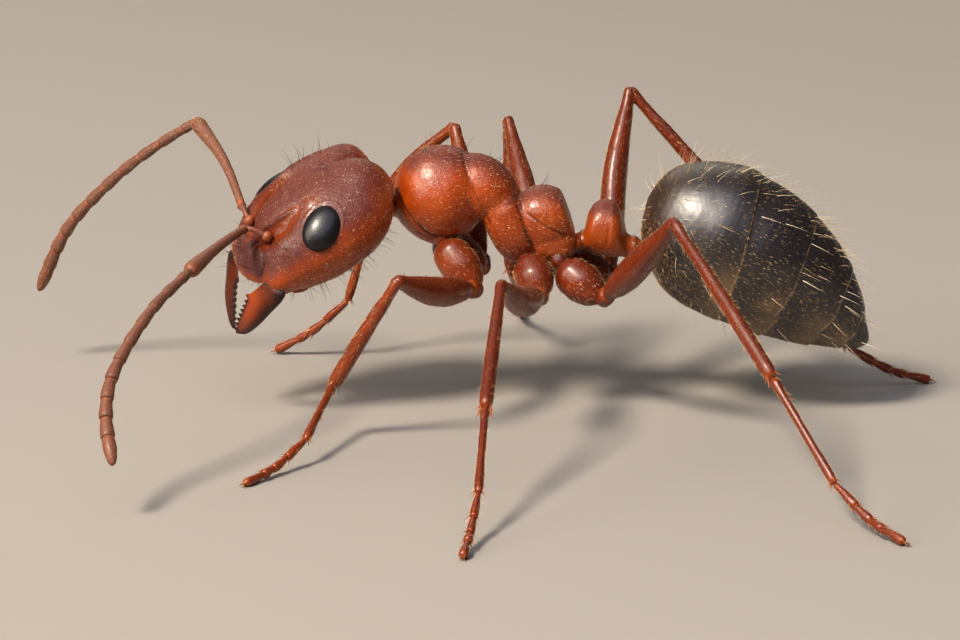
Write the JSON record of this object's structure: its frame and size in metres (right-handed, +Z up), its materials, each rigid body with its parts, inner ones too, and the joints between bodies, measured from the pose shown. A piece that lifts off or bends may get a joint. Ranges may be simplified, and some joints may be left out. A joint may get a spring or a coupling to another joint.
{
  "type": "desert ant",
  "caption": "Life-size red and black desert ant worker in a walking stance, feelers spread and mandibles parted, resting on its feet.",
  "frame": {"origin": "on the floor under the middle of the whole stance, midway between the furthest points of its feet and feelers", "axes": "+X towards the rear of the ant, +Y towards its right side, +Z up; it walks towards -X"},
  "size_m": [0.0152, 0.015, 0.0049],
  "materials": {
    "head_shell": "finely grained red-brown chitin, satin, greyer purple on top",
    "thorax_shell": "orange-red chitin, satin, finely grained",
    "gaster_shell": "glossy near-black chitin with short golden hairs and pale plate edges",
    "leg": "dark red-brown chitin, satin, orange at the joints",
    "feeler": "mauve-brown chitin under very short down",
    "mandible": "orange chitin, glossy, with near-black teeth",
    "eye": "blue-black compound eye, soft highlight"
  },
  "bodies": {
    "root": {"basitarsus_fore_left": "leg", "basitarsus_fore_right": "leg", "basitarsus_hind_left": "leg", "basitarsus_hind_right": "leg", "basitarsus_mid_left": "leg", "basitarsus_mid_right": "leg", "coxa_fore_left": "leg", "coxa_fore_right": "leg", "coxa_hind_left": "leg", "coxa_hind_right": "leg", "coxa_mid_left": "leg", "coxa_mid_right": "leg", "eye_left": "eye", "eye_right": "eye", "feeler_mid_left": "feeler", "feeler_mid_right": "feeler", "feeler_tip_left": "feeler", "feeler_tip_right": "feeler", "femur_fore_left": "leg", "femur_fore_right": "leg", "femur_hind_left": "leg", "femur_hind_right": "leg", "femur_mid_left": "leg", "femur_mid_right": "leg", "foot_fore_left": "leg", "foot_fore_right": "leg", "foot_hind_left": "leg", "foot_hind_right": "leg", "foot_mid_left": "leg", "foot_mid_right": "leg", "gaster_1": "gaster_shell", "gaster_2": "gaster_shell", "gaster_3": "gaster_shell", "gaster_4": "gaster_shell", "gaster_5": "gaster_shell", "head": "head_shell", "mandible_left": "mandible", "mandible_right": "mandible", "mesothorax": "thorax_shell", "neck": "thorax_shell", "petiole": "thorax_shell", "pronotum": "thorax_shell", "propodeum": "thorax_shell", "scape_left": "feeler", "scape_right": "feeler", "tibia_fore_left": "leg", "tibia_fore_right": "leg", "tibia_hind_left": "leg", "tibia_hind_right": "leg", "tibia_mid_left": "leg", "tibia_mid_right": "leg"}
  },
  "joints": []
}
